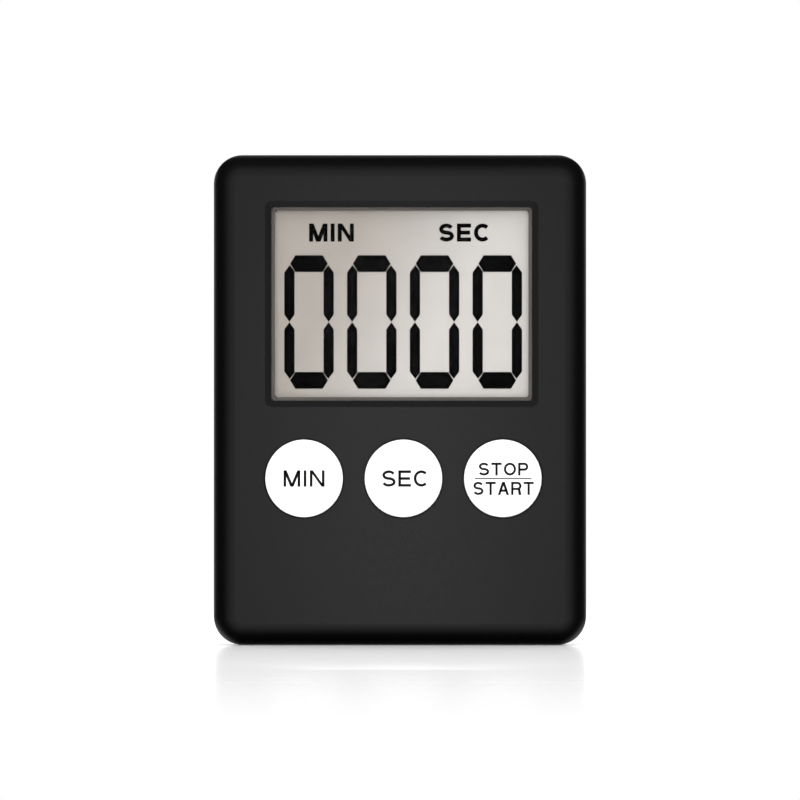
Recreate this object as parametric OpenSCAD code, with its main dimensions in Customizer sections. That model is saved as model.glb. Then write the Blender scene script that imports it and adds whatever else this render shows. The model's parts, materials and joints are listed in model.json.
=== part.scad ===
// Slim digital kitchen timer: two snapped shells, a large display behind a lens, three push
// buttons, a sound disc, a magnet and a coin-turned battery door.
// Pieces are drawn face up: x to the right, y up the front, z from the back (0) to the front.
// upright() then stands each one on its bottom edge, with the front facing -Y.

/* [Case] */
// Width of the case
case_w = 65; // [60:0.5:85]
// Height of the case
case_h = 85.5; // [82:0.5:110]
// Depth of the case, back face to front face
case_d = 10; // [9.8:0.1:14]
// Radius of the four corners, seen from the front
corner_r = 5; // [4.1:0.1:8]
// Rounding of the front edge
front_edge_r = 3.8; // [2:0.1:4]
// Rounding of the rear edge
rear_edge_r = 3.8; // [2:0.1:4.1]
// Thickness of the front wall
front_wall = 1.5; // [1.2:0.1:1.8]
// Thickness of the rear wall
rear_wall = 1.2; // [1:0.1:1.5]
// Thickness of the side walls
side_wall = 1.5; // [1.3:0.1:1.9]
// Height of the joint between the shells, from the back face
parting_h = 5.6; // [5.2:0.1:6]
// Thickness of the tongue on the rear shell
tongue_t = 0.65; // [0.5:0.05:0.8]
// How far the tongue reaches into the front shell
tongue_h = 1; // [0.8:0.1:1.4]

/* [Display] */
// Shift of the display to the right of the middle
display_shift = 0.3; // [0:0.1:1]
// Visible width of the display
view_w = 44.2; // [36:0.1:46]
// Visible height of the display
view_h = 32.5; // [26:0.5:33]
// Case top to the top of the visible display
view_top_margin = 9.75; // [9:0.25:12]
// Width of the tape strip around the display
tape_w = 0.6; // [0.5:0.05:1.2]
// Width of the slope around the lens
slope_w = 1; // [0.5:0.1:1.2]
// Depth of the slope around the lens
slope_depth = 0.35; // [0.25:0.05:0.6]
// Thickness of the lens
lens_t = 1; // [0.7:0.1:1.2]
// How far the lens sits below the front face
lens_sink = 0.15; // [0.05:0.05:0.3]
// Bevel around the front of the lens
lens_bevel = 0.25; // [0.1:0.05:0.4]
// Thickness of each display glass
glass_t = 0.7; // [0.55:0.05:0.9]
// Height of the glass ledge that carries the contacts
glass_ledge = 2.5; // [2:0.1:3.5]

/* [Buttons] */
// Diameter of each button
button_d = 13.5; // [11:0.25:16.5]
// Shift of the buttons to the right of the middle
button_shift = 0.6; // [0:0.1:1]
// Space between neighbouring buttons
button_gap = 3.8; // [2.5:0.1:5]
// Display opening to the top of the buttons
button_drop = 5.7; // [4:0.1:7]
// How far the buttons stand out of the case
button_proud = 0.3; // [0.1:0.05:0.6]
// Travel of each button
button_travel = 0.75; // [0.4:0.05:0.8]
// Gap between a button and its hole
button_play = 0.3; // [0.15:0.05:0.5]
// Width of the flange that keeps a button in the case
flange_w = 0.85; // [0.6:0.05:1]

/* [Battery] */
// Diameter of the button cell
cell_d = 11.6; // [9.5:0.1:12.5]
// Height of the button cell
cell_h = 3.05; // [2:0.05:3.1]
// Diameter of the battery door
door_d = 21.3; // [19:0.1:26]
// Width of the groove around the door
door_groove = 0.85; // [0.5:0.05:1.2]
// Case bottom to the edge of the door opening
door_margin = 5.85; // [5:0.05:9]
// Thickness of the door disc
door_t = 1.2; // [1:0.05:1.3]
// Turn between locked and open, in degrees
door_turn = 45; // [30:1:60]
// Length of the coin slot
coin_slot_l = 12.1; // [8:0.1:14]
// Width of the coin slot
coin_slot_w = 2.7; // [1.5:0.1:4]
// Depth of the coin slot at its middle
coin_slot_depth = 0.8; // [0.4:0.05:0.9]

/* [Back] */
// Diameter of the magnet
magnet_d = 10; // [6:0.5:14]
// Thickness of the magnet
magnet_t = 2; // [1.5:0.1:2.4]
// Height of the magnet above the middle of the case
magnet_rise = 6.1; // [4:0.1:9]
// How far the magnet stands out of the back
magnet_proud = 0.15; // [0.05:0.05:0.3]
// Diameter of the sound disc
piezo_d = 15; // [12:0.5:18]
// Case top to the middle of the sound disc
piezo_drop = 22.95; // [18:0.05:26]
// Sideways distance of the sound disc from the middle
piezo_side = 12.1; // [11.5:0.1:16]
// Length of each sound slot
sound_slot_l = 7.95; // [5:0.05:10]
// Width of each sound slot
sound_slot_w = 1.8; // [1:0.1:2]
// Spacing of the sound slots
sound_slot_pitch = 2.45; // [2.2:0.05:3]
// Width of the sound hole behind the slots
sound_hole_w = 3; // [2:0.1:4]
// Height of the sound hole behind the slots
sound_hole_l = 5; // [4.5:0.1:8]

/* [Board] */
// Thickness of the circuit board
board_t = 1; // [0.8:0.1:1.2]
// Gap between the board and the side walls
board_gap = 1; // [0.6:0.1:2]
// Diameter of the board screws
screw_d = 1.6; // [1.4:0.1:2]

/* [Hidden] */
$fn = 96;
over = 1;            // how far a cut runs past the face that it opens
slide_play = 0.1;    // gap between pieces that slide or snap together
seat_play = 0.2;     // gap around a piece that drops into a pocket
root = 0.2;          // how far a rib or skirt runs into what carries it

// Depths, from the back face at 0
tape_t = 0.15;
ledge_t = 0.6;
display_gap = 0.1;
film_t = 0.2;
seal_t = 0.1;
display_air = 0.35;
front_inner = case_d - front_wall;
lens_top = case_d - lens_sink;
lens_back = lens_top - lens_t;
tape_back = lens_back - tape_t;
ledge_back = tape_back - ledge_t;
film_top = ledge_back - display_gap;
front_glass_top = film_top - film_t;
front_glass_back = front_glass_top - glass_t;
rear_glass_top = front_glass_back - seal_t;
rear_glass_back = rear_glass_top - glass_t;
reflector_back = rear_glass_back - film_t;
board_top = reflector_back - display_air;
board_back = board_top - board_t;

// Display sizes and places
view_y = case_h / 2 - view_top_margin - view_h / 2;
lens_w = view_w + 2 * tape_w;
lens_h = view_h + 2 * tape_w;
lens_corner = 0.5;
slope_corner = 1.2;
slope_out_w = lens_w + 2 * slide_play + 2 * slope_w;
slope_out_h = lens_h + 2 * slide_play + 2 * slope_w;
film_margin = 1;
glass_margin = 3;
glass_top_margin = 2;
glass_w = view_w + 2 * glass_margin;
rear_glass_h = view_h + 2 * glass_top_margin;
front_glass_h = rear_glass_h + glass_ledge;
front_glass_y = view_y - glass_ledge / 2;
frame_rib_t = 1.2;
frame_rib_corner = 1;
pocket_corner = 0.3;
seal_w = 1.2;
strip_w = 1.6;
strip_end = 2;

// Buttons
button_pitch = button_d + button_gap;
button_y = view_y - slope_out_h / 2 - button_drop - button_d / 2;
button_x = [for (i = [-1:1]) button_shift + i * button_pitch];
button_hole_d = button_d + 2 * button_play;
flange_d = button_d + 2 * flange_w;
flange_t = 0.6;
flange_top = front_inner - slide_play;
button_back = flange_top - flange_t;
button_plate = 1.1;
button_wall = 1;
button_round = 0.35;
plunger_d = 5;
key_w = 1.2;
key_reach = 1.6;
key_drop = flange_t + button_travel + slide_play;

// Rubber domes, between the board and the buttons
pad_d = 4.8;
pad_t = 0.05;
pill_d = 3.2;
pill_t = 0.4;
pill_play = 0.05;
pill_back = board_top + pad_t + button_travel + pill_play;
dome_base_r = 4;
dome_base_in = 3.1;
dome_base_t = 0.4;
dome_neck_r = 2.2;
dome_skin = 0.35;

// Board, bosses and screws
board_w = case_w - 2 * side_wall - 2 * board_gap;
board_h = case_h - 2 * side_wall - 2 * board_gap;
board_corner = 2.5;
boss_d = 3.8;
boss_inset = 2.1;
screw_play = 0.05;
board_hole_play = 0.1;
screw_head_d = 3;
screw_head_t = 0.7;
screw_slot_l = 1.8;
screw_slot_w = 0.35;
screw_reach = 2;
boss_hole_depth = 2.3;
boss_x = board_w / 2 - boss_inset;
boss_ends = board_h / 2 - boss_inset;
boss_middle = front_glass_y - front_glass_h / 2;
boss_places = [for (s = [-1, 1]) for (y = [-boss_ends, boss_middle, boss_ends]) [s * boss_x, y]];

// Battery compartment
door_hole_d = door_d + 2 * door_groove;
door_y = -case_h / 2 + door_margin + door_hole_d / 2;
door_face = 0.1;
door_back = door_face + door_t;
door_edge = 0.25;
door_skirt_t = 1.2;
door_skirt_inset = 0.25;
lip_t = 0.8;
lip_play = 0.15;
lip_d = door_d + 2 * lip_play;
lip_top = rear_wall + lip_t;
lug_t = 0.75;
lug_arc = 26;
lug_start = 77;
lug_count = 3;
lug_back = lip_top + slide_play;
lug_front = lug_back + lug_t;
bay_play = 0.15;
bay_floor = lug_front + bay_play;
bay_floor_t = 0.8;
bay_wall = 1;
bay_d = door_hole_d + 2 * bay_wall;
lug_play_arc = 1.5;
stop_play_arc = 1;
stop_arc = 4;
cell_back = door_back + bay_play;
cell_front = cell_back + cell_h;
cup_d = cell_d + 2 * seat_play;
cup_wall = 0.9;
cup_out_d = cup_d + 2 * cup_wall;
leaf_t = 0.2;
leaf_w = 3;
leaf_lift = 0.05;
dimple_d = 1;
leaf_back = cell_front + leaf_lift;
cup_roof = leaf_back + leaf_t + slide_play;
cup_roof_t = 0.6;
finger_t = 0.15;
finger_play = 0.02;
cup_top = cup_roof + cup_roof_t;
leaf_play = 0.3;
leaf_slot_w = leaf_w + 2 * leaf_play;
leaf_foot_l = 3.5;
finger_pocket = 0.4;
riser_x = cup_out_d / 2 + slide_play;
board_bay_play = 0.7;
crimp_h = 0.5;
cap_inset = 0.8;
seal_ring_w = 0.3;

// Magnet and sound disc
magnet_play = 0.25;
glue_t = 0.1;
glue_margin = 0.5;
magnet_seat = magnet_t - magnet_proud + glue_t;
magnet_cup_wall = 1;
magnet_cup_roof = 0.8;
piezo_y = case_h / 2 - piezo_drop;
piezo_lift = 0.8;
piezo_plate_t = 0.2;
piezo_ceramic_d = 10;
piezo_ceramic_t = 0.2;
piezo_ring_w = 0.9;
sound_slot_depth = 0.6;
sound_hole_lap = 0.05;
piezo_back = rear_wall + piezo_lift;
piezo_front = piezo_back + piezo_plate_t;
ceramic_front = piezo_front + piezo_ceramic_t;
wire_d = 0.7;
wire_bend = 0.8;
wire_run = 5;
wire_inner = 1.5;
solder_h = 0.35;
solder_d = 1.8;
solder_tip_d = 1.1;

// Snap beads along the tongue
bead_l = 6;
bead_out = 0.25;
bead_half = 0.3;
bead_z = parting_h + tongue_h / 2;
tongue_inset = side_wall - tongue_t;

// ---------------------------------------------------------------- helpers

module upright() {
    translate([0, case_d / 2, case_h / 2]) rotate([90, 0, 0]) children();
}

// Flat plate with rounded corners, standing on z = 0
module plate(w, h, r, t) {
    linear_extrude(t) {
        square([w - 2 * r, h], center = true);
        for (s = [-1, 1]) translate([s * (w - r) / 2, 0]) square([r, h - 2 * r], center = true);
        for (a = [0, 1], b = [0, 1]) mirror([a, 0]) mirror([0, b])
            translate([w / 2 - r, h / 2 - r]) intersection() {
                circle(r);
                square(r);
            }
    }
}

// Upright strip from x = 0 to x = w, with its far top corner rounded
module rounded_strip(w, h, r) {
    square([w - r, h]);
    translate([w - r, 0]) square([r, h - r]);
    translate([w - r, h - r]) intersection() {
        circle(r);
        square(r);
    }
}

// Block with rounded corners and a rounded top edge, standing on z = 0
module pillow(w, h, plan_r, edge_r, t) {
    for (a = [0, 1], b = [0, 1]) mirror([a, 0, 0]) mirror([0, b, 0]) {
        translate([w / 2 - plan_r, h / 2 - plan_r, 0])
            rotate_extrude(angle = 90) rounded_strip(plan_r, t, edge_r);
    }
    for (a = [0, 1]) mirror([a, 0, 0])
        translate([w / 2 - plan_r, h / 2 - plan_r, 0]) rotate([90, 0, 0])
            linear_extrude(h - 2 * plan_r) rounded_strip(plan_r, t, edge_r);
    for (b = [0, 1]) mirror([0, b, 0])
        translate([-w / 2 + plan_r, 0, 0]) rotate([90, 0, 90])
            linear_extrude(w - 2 * plan_r) rounded_strip(h / 2, t, edge_r);
}

// Outline of the case moved in by d, as a plate
module inset_plate(d, t) {
    plate(case_w - 2 * d, case_h - 2 * d, corner_r - d, t);
}

// Ring about z, standing on z = 0
module ring(outer_d, inner_d, t) {
    difference() {
        cylinder(d = outer_d, h = t);
        translate([0, 0, -over]) cylinder(d = inner_d, h = t + 2 * over);
    }
}

// Part of a ring, from one angle over an arc
module ring_part(outer_r, inner_r, t, from, arc) {
    rotate([0, 0, from]) rotate_extrude(angle = arc)
        translate([inner_r, 0]) square([outer_r - inner_r, t]);
}

// Flat shape of a slot with round ends
module slot_outline(l, w) {
    square([l - w, w], center = true);
    for (s = [0, 1]) mirror([s, 0]) translate([(l - w) / 2, 0]) intersection() {
        circle(d = w);
        translate([0, -w / 2]) square([w, w]);
    }
}

// Six small ridges around the tongue; grow makes the pockets that they snap into
module snap_beads(grow) {
    half = bead_half + grow;
    out = bead_out + grow;
    long = bead_l + 2 * grow;
    outline = [[-tongue_t / 2, -half], [0, -half], [out, 0], [0, half], [-tongue_t / 2, half]];
    for (s = [0, 1]) mirror([s, 0, 0]) for (t = [-1, 1])
        translate([case_w / 2 - tongue_inset - slide_play, t * case_h / 4 + long / 2, bead_z])
            rotate([90, 0, 0]) linear_extrude(long) polygon(outline);
    for (s = [0, 1]) mirror([0, s, 0])
        translate([-long / 2, case_h / 2 - tongue_inset - slide_play, bead_z])
            rotate([90, 0, 90]) linear_extrude(long) polygon(outline);
}

// ---------------------------------------------------------------- case

module front_shell() {
    difference() {
        translate([0, 0, parting_h])
            pillow(case_w, case_h, corner_r, front_edge_r, case_d - parting_h);
        translate([0, 0, parting_h - over])
            pillow(case_w - 2 * side_wall, case_h - 2 * side_wall, corner_r - side_wall,
                front_edge_r - side_wall, front_inner - parting_h + over);
        translate([0, 0, parting_h - over]) inset_plate(tongue_inset, tongue_h + slide_play + over);
        snap_beads(slide_play);
    }
}

module display_frame() {
    rib_w = glass_w + 2 * seat_play + 2 * frame_rib_t;
    rib_h = front_glass_h + 2 * seat_play + 2 * frame_rib_t;
    translate([display_shift, front_glass_y, rear_glass_back])
        plate(rib_w, rib_h, frame_rib_corner, front_inner - rear_glass_back + root);
}

module display_pocket() {
    translate([display_shift, front_glass_y, rear_glass_back - over])
        plate(glass_w + 2 * seat_play, front_glass_h + 2 * seat_play, pocket_corner,
            ledge_back - rear_glass_back + over);
    translate([display_shift, view_y, ledge_back - over]) plate(view_w, view_h, lens_corner, case_d);
    translate([display_shift, view_y, tape_back])
        plate(lens_w + 2 * slide_play, lens_h + 2 * slide_play, lens_corner, case_d);
    translate([display_shift, view_y, case_d - slope_depth]) intersection() {
        plate(slope_out_w, slope_out_h, slope_corner, slope_depth + over);
        translate([0, slope_out_h, 0]) rotate([90, 0, 0])
            linear_extrude(2 * slope_out_h) funnel(slope_out_w);
        translate([-slope_out_w, 0, 0]) rotate([90, 0, 90])
            linear_extrude(2 * slope_out_w) funnel(slope_out_h);
    }
}

// Section of the slope around the lens, w wide at the front face
module funnel(w) {
    polygon([[-w / 2 + slope_w, 0], [w / 2 - slope_w, 0], [w / 2, slope_depth],
        [w / 2, slope_depth + over], [-w / 2, slope_depth + over], [-w / 2, slope_depth]]);
}

module button_key(x) {
    translate([x - key_w / 2, button_y + button_hole_d / 2, front_inner - key_drop])
        cube([key_w, key_reach, key_drop + root]);
}

module front_case() {
    color([0.11, 0.11, 0.12]) upright() difference() {
        union() {
            front_shell();
            display_frame();
            for (x = button_x) button_key(x);
            for (p = boss_places) translate([p.x, p.y, board_top])
                cylinder(d = boss_d, h = front_inner - board_top + root);
        }
        display_pocket();
        for (x = button_x) translate([x, button_y, front_inner - over])
            cylinder(d = button_hole_d, h = front_wall + 2 * over);
        for (p = boss_places) translate([p.x, p.y, board_top - over])
            cylinder(d = screw_d + 2 * screw_play, h = boss_hole_depth + over);
    }
}

module rear_shell() {
    difference() {
        union() {
            translate([0, 0, parting_h]) mirror([0, 0, 1])
                pillow(case_w, case_h, corner_r, rear_edge_r, parting_h);
            translate([0, 0, parting_h - over])
                inset_plate(tongue_inset + slide_play, tongue_h + over);
            snap_beads(0);
        }
        translate([0, 0, parting_h + tongue_h + over]) mirror([0, 0, 1])
            pillow(case_w - 2 * side_wall - 2 * slide_play, case_h - 2 * side_wall - 2 * slide_play,
                corner_r - side_wall - slide_play, rear_edge_r - side_wall,
                parting_h + tongue_h + over - rear_wall);
    }
}

// Wedges from the middle of the door, one for each lug, turned on from where the lugs start
module lug_wedges(from, arc) {
    far = door_hole_d;
    for (k = [0:lug_count - 1]) rotate(lug_start + k * 360 / lug_count + from)
        polygon([[0, 0], [far, 0], [far * cos(arc), far * sin(arc)]]);
}

// Ring under the rear wall with a notch for each lug, about the middle of the door
module bay_lip() {
    difference() {
        circle(d = bay_d);
        circle(d = lip_d);
        intersection() {
            circle(d = door_hole_d);
            lug_wedges(-door_turn - lug_play_arc, lug_arc + 2 * lug_play_arc);
        }
    }
}

// Ring that the lugs turn in, with a stop at each end of their travel
module bay_track() {
    difference() {
        circle(d = bay_d);
        difference() {
            circle(d = door_hole_d);
            difference() {
                union() {
                    lug_wedges(lug_arc + stop_play_arc, stop_arc);
                    lug_wedges(-door_turn - stop_play_arc - stop_arc, stop_arc);
                }
                circle(d = lip_d + slide_play);
            }
        }
    }
}

module battery_bay() {
    translate([0, 0, rear_wall]) linear_extrude(lip_t) bay_lip();
    translate([0, 0, lip_top]) linear_extrude(bay_floor - lip_top) bay_track();
    translate([0, 0, bay_floor]) cylinder(d = bay_d, h = bay_floor_t);
}

module cell_cup() {
    translate([0, 0, bay_floor]) cylinder(d = cup_out_d, h = cup_top - bay_floor);
}

module cell_cup_cut() {
    translate([0, 0, bay_floor - over]) cylinder(d = cup_d, h = cup_roof - bay_floor + over);
    for (s = [0, 1]) mirror([s, 0, 0])
        translate([cup_d / 2 - over, -leaf_slot_w / 2, bay_floor + bay_floor_t])
            cube([cup_wall + 2 * over, leaf_slot_w, cup_top - bay_floor - bay_floor_t + over]);
    translate([0, -leaf_slot_w / 2, bay_floor - over])
        cube([cup_d / 2 + finger_pocket, leaf_slot_w, cup_roof - bay_floor + over]);
}

module sound_opening() {
    for (k = [-1:1]) translate([0, k * sound_slot_pitch, -over])
        linear_extrude(sound_slot_depth + over) slot_outline(sound_slot_l, sound_slot_w);
    translate([0, 0, sound_slot_depth - sound_hole_lap]) rotate([0, 0, 90])
        linear_extrude(rear_wall + over) slot_outline(sound_hole_l, sound_hole_w);
}

module rear_case() {
    color([0.10, 0.10, 0.11]) upright() difference() {
        union() {
            difference() {
                rear_shell();
                translate([0, door_y, -over]) cylinder(d = door_hole_d, h = rear_wall + 2 * over);
            }
            translate([0, door_y, 0]) {
                battery_bay();
                cell_cup();
            }
            translate([0, magnet_rise, rear_wall / 2]) cylinder(
                d = magnet_d + 2 * magnet_play + 2 * magnet_cup_wall,
                h = magnet_seat + magnet_cup_roof - rear_wall / 2);
            translate([-piezo_side, piezo_y, rear_wall / 2])
                ring(piezo_d, piezo_d - 2 * piezo_ring_w, piezo_back - rear_wall / 2);
        }
        translate([0, door_y, 0]) cell_cup_cut();
        translate([0, magnet_rise, -over])
            cylinder(d = magnet_d + 2 * magnet_play, h = magnet_seat + over);
        translate([-piezo_side, piezo_y, 0]) sound_opening();
    }
}

// ---------------------------------------------------------------- display

module display_lens() {
    color([0.75, 0.78, 0.8, 0.4]) upright() translate([display_shift, view_y, lens_back]) intersection() {
        plate(lens_w, lens_h, lens_corner, lens_t);
        translate([0, lens_h, 0]) rotate([90, 0, 0]) linear_extrude(2 * lens_h) bevelled(lens_w);
        translate([-lens_w, 0, 0]) rotate([90, 0, 90]) linear_extrude(2 * lens_w) bevelled(lens_h);
    }
}

// Section of the lens, with its two front corners cut off
module bevelled(w) {
    polygon([[-w / 2, -over], [w / 2, -over], [w / 2, lens_t - lens_bevel],
        [w / 2 - lens_bevel, lens_t], [-w / 2 + lens_bevel, lens_t],
        [-w / 2, lens_t - lens_bevel]]);
}

module frame_plate(w, h, band, t) {
    difference() {
        plate(w, h, lens_corner, t);
        translate([0, 0, -over])
            linear_extrude(t + 2 * over) square([w - 2 * band, h - 2 * band], center = true);
    }
}

module lens_tape() {
    color([0.40, 0.37, 0.34]) upright() translate([display_shift, view_y, tape_back])
        frame_plate(lens_w, lens_h, tape_w, tape_t);
}

module film(z) {
    translate([display_shift, view_y, z]) linear_extrude(film_t)
        square([view_w + 2 * film_margin, view_h + 2 * film_margin], center = true);
}

module lcd_front_polariser() {
    color([0.76, 0.74, 0.71]) upright() film(front_glass_top);
}

module lcd_front_glass() {
    color([0.8, 0.85, 0.85, 0.4]) upright() translate([display_shift, front_glass_y, front_glass_back])
        linear_extrude(glass_t) square([glass_w, front_glass_h], center = true);
}

module lcd_seal() {
    color([0.5, 0.48, 0.42]) upright() translate([display_shift, view_y, rear_glass_top])
        linear_extrude(seal_t) difference() {
            square([glass_w, rear_glass_h], center = true);
            square([glass_w - 2 * seal_w, rear_glass_h - 2 * seal_w], center = true);
        }
}

module lcd_rear_glass() {
    color([0.8, 0.85, 0.85, 0.4]) upright() translate([display_shift, view_y, rear_glass_back])
        linear_extrude(glass_t) square([glass_w, rear_glass_h], center = true);
}

module lcd_reflector() {
    color([0.7, 0.7, 0.68]) upright() film(reflector_back);
}

module contact_strip() {
    strip_y = view_y - rear_glass_h / 2 - glass_ledge / 2;
    color([0.35, 0.33, 0.33]) upright() translate([display_shift, strip_y, board_top])
        linear_extrude(front_glass_back - board_top)
            square([glass_w - 2 * strip_end, strip_w], center = true);
}

// ---------------------------------------------------------------- buttons

module button(x) {
    body_r = button_d / 2;
    height = case_d + button_proud - button_back;
    color([0.95, 0.95, 0.95]) upright() translate([x, button_y, button_back]) difference() {
        union() {
            rotate_extrude() rounded_strip(body_r, height, button_round);
            cylinder(d = flange_d, h = flange_t);
        }
        translate([0, 0, -over])
            ring(button_d - 2 * button_wall, plunger_d, height - button_plate + over);
        translate([-key_w / 2 - slide_play, body_r, -over])
            cube([key_w + 2 * slide_play, flange_w + over, flange_t + 2 * over]);
    }
}

module min_button() {
    button(button_x[0]);
}

module sec_button() {
    button(button_x[1]);
}

module start_stop_button() {
    button(button_x[2]);
}

module dome(x) {
    top = button_back - board_top;
    under = pill_back + pill_t - board_top;
    color([0.75, 0.75, 0.74]) upright() translate([x, button_y, board_top]) rotate_extrude()
        polygon([[dome_base_in, 0], [dome_base_r, 0], [dome_base_r, dome_base_t],
            [dome_base_in + dome_skin, dome_base_t], [dome_neck_r, under + dome_skin],
            [dome_neck_r, top], [0, top], [0, under], [dome_neck_r - dome_skin, under],
            [dome_base_in, dome_base_t - dome_skin / 2]]);
}

module min_dome() {
    dome(button_x[0]);
}

module sec_dome() {
    dome(button_x[1]);
}

module start_stop_dome() {
    dome(button_x[2]);
}

module carbon_contact(x) {
    color([0.06, 0.06, 0.06]) upright() translate([x, button_y, pill_back])
        cylinder(d = pill_d, h = pill_t);
}

module min_contact() {
    carbon_contact(button_x[0]);
}

module sec_contact() {
    carbon_contact(button_x[1]);
}

module start_stop_contact() {
    carbon_contact(button_x[2]);
}

// ---------------------------------------------------------------- board

module circuit_board() {
    color([0.10, 0.32, 0.16]) upright() translate([0, 0, board_back]) difference() {
        plate(board_w, board_h, board_corner, board_t);
        translate([0, door_y, -over])
            cylinder(d = cup_out_d + 2 * board_bay_play, h = board_t + 2 * over);
        for (p = boss_places) translate([p.x, p.y, -over])
            cylinder(d = screw_d + 2 * board_hole_play, h = board_t + 2 * over);
    }
}

module switch_pads() {
    color([0.82, 0.66, 0.30]) upright() for (x = button_x)
        translate([x, button_y, board_top]) cylinder(d = pad_d, h = pad_t);
}

module board_screws() {
    color([0.70, 0.70, 0.72]) upright() for (p = boss_places) translate([p.x, p.y, 0]) {
        difference() {
            translate([0, 0, board_back - screw_head_t])
                cylinder(d = screw_head_d, h = screw_head_t);
            for (a = [0, 90]) rotate([0, 0, a]) translate([0, 0, board_back - screw_head_t])
                cube([screw_slot_l, screw_slot_w, screw_head_t], center = true);
        }
        translate([0, 0, board_back - root])
            cylinder(d = screw_d, h = board_t + screw_reach + root);
    }
}

// Block on the back of the board, with its middle at x, y
module on_back(x, y, size) {
    translate([x - size.x / 2, y - size.y / 2, board_back - size.z]) cube(size);
}

chip_place = [13, piezo_y];
chip_d = 9;
chip_h = 1.2;
module controller_chip() {
    blob_r = (chip_d * chip_d / 4 + chip_h * chip_h) / (2 * chip_h);
    color([0.05, 0.05, 0.06]) upright() intersection() {
        translate([chip_place.x, chip_place.y, board_back - chip_h + blob_r]) sphere(blob_r);
        translate([chip_place.x, chip_place.y, board_back - chip_h - over])
            cylinder(d = 2 * chip_d, h = chip_h + over);
    }
}

crystal_place = [22, piezo_y + 5];
crystal_d = 2;
crystal_l = 6;
module crystal() {
    color([0.8, 0.8, 0.82]) upright()
        translate([crystal_place.x, crystal_place.y, board_back - crystal_d / 2])
            rotate([90, 0, 0]) cylinder(d = crystal_d, h = crystal_l);
}

coil_place = [-20, 0];
coil_d = 6;
coil_h = 2.4;
coil_waist = 4.6;
coil_flange = 0.5;
module alarm_coil() {
    color([0.20, 0.20, 0.21]) upright()
        translate([coil_place.x, coil_place.y, board_back - coil_h]) difference() {
            cylinder(d = coil_d, h = coil_h);
            translate([0, 0, coil_flange])
                ring(coil_d + 2 * over, coil_waist, coil_h - 2 * coil_flange);
        }
}

chip_size = [1.6, 0.8, 0.45];
chip_pitch = 2.4;
part_row_x = 20;
part_row_gap = 4;
part_row_drop = 9;
module resistors() {
    color([0.12, 0.12, 0.13]) upright() for (k = [0:5])
        on_back(part_row_x, chip_place.y - part_row_drop - k * chip_pitch, chip_size);
}

capacitor_size = [1.6, 0.8, 0.8];
module capacitors() {
    color([0.62, 0.50, 0.36]) upright() for (k = [0:3])
        on_back(part_row_x + part_row_gap, chip_place.y - part_row_drop - k * chip_pitch,
            capacitor_size);
}

transistor_size = [2.9, 1.3, 1];
transistor_lead = [0.4, 0.8, 0.3];
coil_to_transistor = 7;
lead_pitch = 0.95;
lead_root = 0.1;
module transistor() {
    x = coil_place.x + coil_to_transistor;
    reach = transistor_size.y / 2 + transistor_lead.y / 2 - lead_root;
    color([0.08, 0.08, 0.09]) upright() {
        on_back(x, coil_place.y, transistor_size);
        for (s = [-1, 1]) on_back(x + s * lead_pitch, coil_place.y - reach, transistor_lead);
        on_back(x, coil_place.y + reach, transistor_lead);
    }
}

// ---------------------------------------------------------------- sound disc

module piezo_plate() {
    color([0.80, 0.60, 0.32]) upright() translate([-piezo_side, piezo_y, piezo_back])
        cylinder(d = piezo_d, h = piezo_plate_t);
}

module piezo_ceramic() {
    color([0.88, 0.87, 0.84]) upright() translate([-piezo_side, piezo_y, piezo_front])
        cylinder(d = piezo_ceramic_d, h = piezo_ceramic_t);
}

wire_feet = [[wire_inner, ceramic_front], [(piezo_ceramic_d + piezo_d) / 4, piezo_front]];

// Up from the disc, across, and up to the board
module wire(foot_x, foot_z) {
    run_z = (foot_z + solder_h + board_back) / 2;
    rise = run_z - wire_bend - foot_z - solder_h / 2;
    top = board_back - run_z - wire_bend;
    translate([foot_x, 0, foot_z + solder_h / 2]) cylinder(d = wire_d, h = rise, $fn = 32);
    translate([foot_x, wire_bend, run_z - wire_bend]) rotate([90, 0, 90]) rotate([0, 0, 90])
        rotate_extrude(angle = 90, $fn = 64) translate([wire_bend, 0]) circle(d = wire_d);
    translate([foot_x, wire_bend, run_z]) rotate([-90, 0, 0])
        cylinder(d = wire_d, h = wire_run, $fn = 32);
    translate([foot_x, wire_bend + wire_run, run_z + wire_bend]) rotate([90, 0, 90])
        rotate([0, 0, -90]) rotate_extrude(angle = 90, $fn = 64)
            translate([wire_bend, 0]) circle(d = wire_d);
    translate([foot_x, 2 * wire_bend + wire_run, run_z + wire_bend])
        cylinder(d = wire_d, h = top, $fn = 32);
}

module piezo_wires() {
    color([0.7, 0.12, 0.1]) upright() translate([-piezo_side, piezo_y, 0])
        for (f = wire_feet) wire(f[0], f[1]);
}

module piezo_solder() {
    color([0.75, 0.75, 0.76]) upright() translate([-piezo_side, piezo_y, 0])
        for (f = wire_feet) translate([f[0], 0, f[1]]) difference() {
            cylinder(d1 = solder_d, d2 = solder_tip_d, h = solder_h);
            translate([0, 0, solder_h / 2]) cylinder(d = wire_d, h = solder_h, $fn = 32);
        }
}

// ---------------------------------------------------------------- magnet

module magnet() {
    color([0.80, 0.80, 0.80]) upright() translate([0, magnet_rise, -magnet_proud])
        cylinder(d = magnet_d, h = magnet_t);
}

module magnet_glue() {
    color([0.85, 0.80, 0.62]) upright() translate([0, magnet_rise, magnet_t - magnet_proud])
        cylinder(d = magnet_d - 2 * glue_margin, h = glue_t);
}

// ---------------------------------------------------------------- battery

module coin_slot() {
    floor_r = (coin_slot_l * coin_slot_l / 4 + coin_slot_depth * coin_slot_depth)
        / (2 * coin_slot_depth);
    intersection() {
        translate([-coin_slot_l / 2, -coin_slot_w / 2, -over])
            cube([coin_slot_l, coin_slot_w, coin_slot_depth + over]);
        translate([0, coin_slot_w, coin_slot_depth - floor_r]) rotate([90, 0, 0])
            cylinder(r = floor_r, h = 2 * coin_slot_w, $fn = 200);
    }
}

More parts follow.
